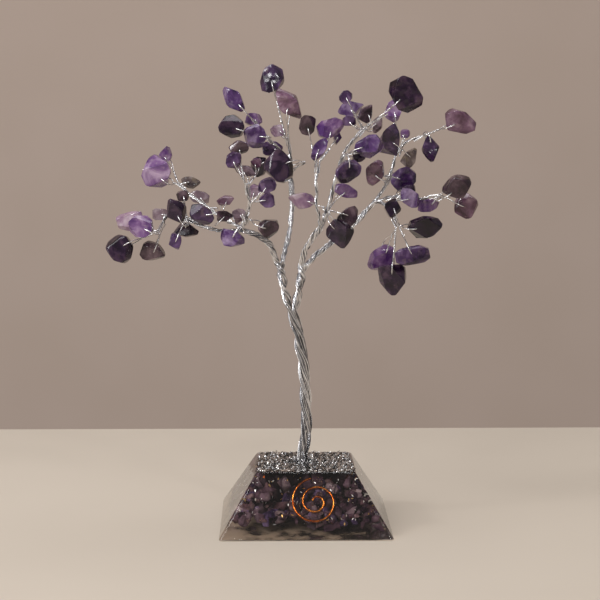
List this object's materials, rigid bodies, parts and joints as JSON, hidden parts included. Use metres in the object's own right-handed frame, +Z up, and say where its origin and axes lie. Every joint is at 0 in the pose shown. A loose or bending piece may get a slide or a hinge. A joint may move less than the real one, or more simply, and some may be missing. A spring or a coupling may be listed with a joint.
{
  "type": "gemstone tree ornament",
  "caption": "Wire tree ornament with drilled amethyst chips on twisted silver limbs, standing in a clear resin frustum with cast-in chips, a copper spiral and metal shavings.",
  "frame": {"origin": "middle of the resin block's underside, on the table", "axes": "+Z up along the tree's height, -Y towards the front face with the copper spiral, +X to its right"},
  "size_m": [0.131, 0.06, 0.1612],
  "materials": {
    "clear_resin": "clear cast resin, polished",
    "amethyst": "tumbled and polished amethyst, pale lilac to near black",
    "silver_wire": "bright silver-coloured craft wire",
    "copper_wire": "bright bare copper",
    "metal_shavings": "bright loose swarf"
  },
  "bodies": {
    "stand": {"copper_spiral": "copper_wire", "left_ply": "silver_wire", "metal_shavings": "metal_shavings", "mid_left_ply": "silver_wire", "mid_right_ply": "silver_wire", "resin_base": "clear_resin", "resin_chips": "amethyst", "right_ply": "silver_wire"},
    "left_limb": {"left_crest_stones": "amethyst", "left_crest_twigs": "silver_wire", "left_high_branch": "silver_wire", "left_inner_branch": "silver_wire", "left_inner_stones": "amethyst", "left_inner_twigs": "silver_wire", "left_low_branch": "silver_wire", "left_low_stones": "amethyst", "left_low_twigs": "silver_wire", "left_mid_stones": "amethyst", "left_mid_twigs": "silver_wire", "left_tip_stones": "amethyst", "left_tip_twigs": "silver_wire", "left_upper_stones": "amethyst", "left_upper_twigs": "silver_wire"},
    "mid_left_limb": {"mid_left_branch": "silver_wire", "mid_left_stones": "amethyst", "mid_left_twigs": "silver_wire", "top_branch": "silver_wire", "top_stones": "amethyst", "top_twigs": "silver_wire", "upper_left_branch": "silver_wire", "upper_left_stones": "amethyst", "upper_left_twigs": "silver_wire"},
    "mid_right_limb": {"center_branch": "silver_wire", "center_stones": "amethyst", "center_twigs": "silver_wire", "inner_right_branch": "silver_wire", "inner_right_stones": "amethyst", "inner_right_twigs": "silver_wire", "long_branch": "silver_wire", "long_stones": "amethyst", "long_twigs": "silver_wire", "mid_right_stones": "amethyst", "mid_right_twigs": "silver_wire"},
    "right_limb": {"right_branch": "silver_wire", "right_high_branch": "silver_wire", "right_high_stones": "amethyst", "right_high_twigs": "silver_wire", "right_low_branch": "silver_wire", "right_low_stones": "amethyst", "right_low_twigs": "silver_wire", "right_stones": "amethyst", "right_top_stones": "amethyst", "right_top_twigs": "silver_wire", "right_twigs": "silver_wire"}
  },
  "joints": [
    {"name": "left_limb_bend", "type": "hinge", "parent": "stand", "child": "left_limb", "pos_m": [-0.0096, 0, 0.092], "axis": [0, -1, 0], "range_deg": [-10, 10]},
    {"name": "mid_left_limb_bend", "type": "hinge", "parent": "stand", "child": "mid_left_limb", "pos_m": [-0.0078, 0, 0.092], "axis": [0, -1, 0], "range_deg": [-10, 10]},
    {"name": "mid_right_limb_bend", "type": "hinge", "parent": "stand", "child": "mid_right_limb", "pos_m": [-0.0015, 0, 0.091], "axis": [0, -1, 0], "range_deg": [-10, 10]},
    {"name": "right_limb_bend", "type": "hinge", "parent": "stand", "child": "right_limb", "pos_m": [0.0003, 0, 0.091], "axis": [0, -1, 0], "range_deg": [-10, 10]}
  ]
}
